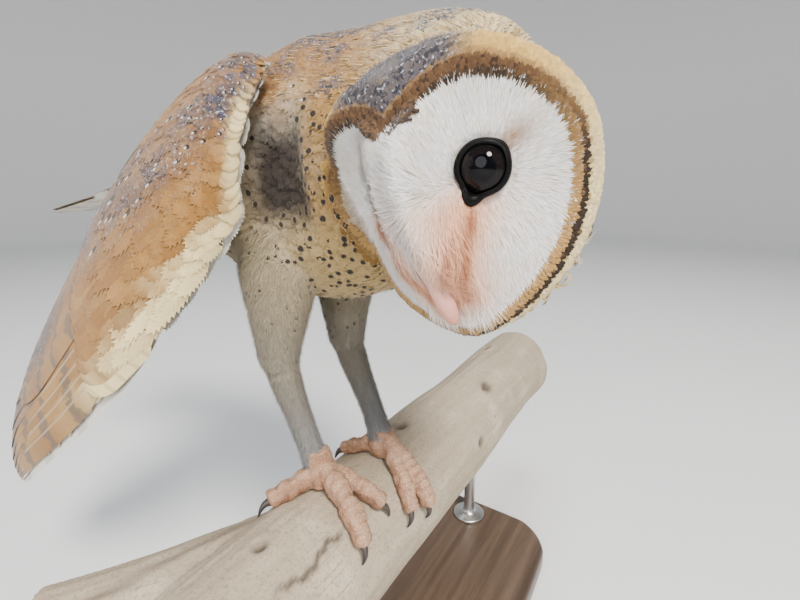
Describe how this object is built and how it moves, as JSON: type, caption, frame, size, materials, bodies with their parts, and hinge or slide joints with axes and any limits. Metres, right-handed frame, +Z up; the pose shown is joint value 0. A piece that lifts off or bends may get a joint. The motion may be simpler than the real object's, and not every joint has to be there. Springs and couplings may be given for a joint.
{
  "type": "barn owl model on a perch",
  "caption": "Life-size barn owl, bowed forward with its head turned to its right, on a cut log held by a plain flat stand.",
  "frame": {"origin": "on the underside of the stand's base, straight below the middle between the two feet", "axes": "+Z up, -Y the way the owl's body faces, +X towards the owl's left, along the log"},
  "size_m": [0.418, 0.3592, 0.3546],
  "materials": {
    "face_feathers": "soft matt white feathers",
    "neck_feathers": "soft matt golden feathers",
    "body_feathers": "soft matt buff feathers with small dark spots",
    "wing_feathers": "matt golden-buff flight and covert feathers with grey marks",
    "tail_feathers": "matt buff feathers with grey bars",
    "leg_feathers": "short matt down",
    "toe_skin": "dry pink scaly skin",
    "bill": "satin pinkish-white horn",
    "claw": "satin dark horn",
    "eye": "wet gloss black",
    "log_wood": "weathered peeled wood",
    "base_wood": "satin dark stained wood",
    "rod_steel": "brushed"
  },
  "bodies": {
    "root": {"bill_lower": "bill", "bill_upper": "bill", "claw_hallux_left": "claw", "claw_hallux_right": "claw", "claw_inner_left": "claw", "claw_inner_right": "claw", "claw_middle_left": "claw", "claw_middle_right": "claw", "claw_outer_left": "claw", "claw_outer_right": "claw", "eye_left": "eye", "eye_right": "eye", "foot_left": "toe_skin", "foot_right": "toe_skin", "head": "face_feathers", "neck": "neck_feathers", "perch_log": "log_wood", "shank_left": "leg_feathers", "shank_right": "leg_feathers", "stand_base": "base_wood", "stand_rod_far": "rod_steel", "stand_rod_near": "rod_steel", "tail": "tail_feathers", "thigh_left": "leg_feathers", "thigh_right": "leg_feathers", "trunk": "body_feathers", "wing_left": "wing_feathers", "wing_right": "wing_feathers"}
  },
  "joints": []
}
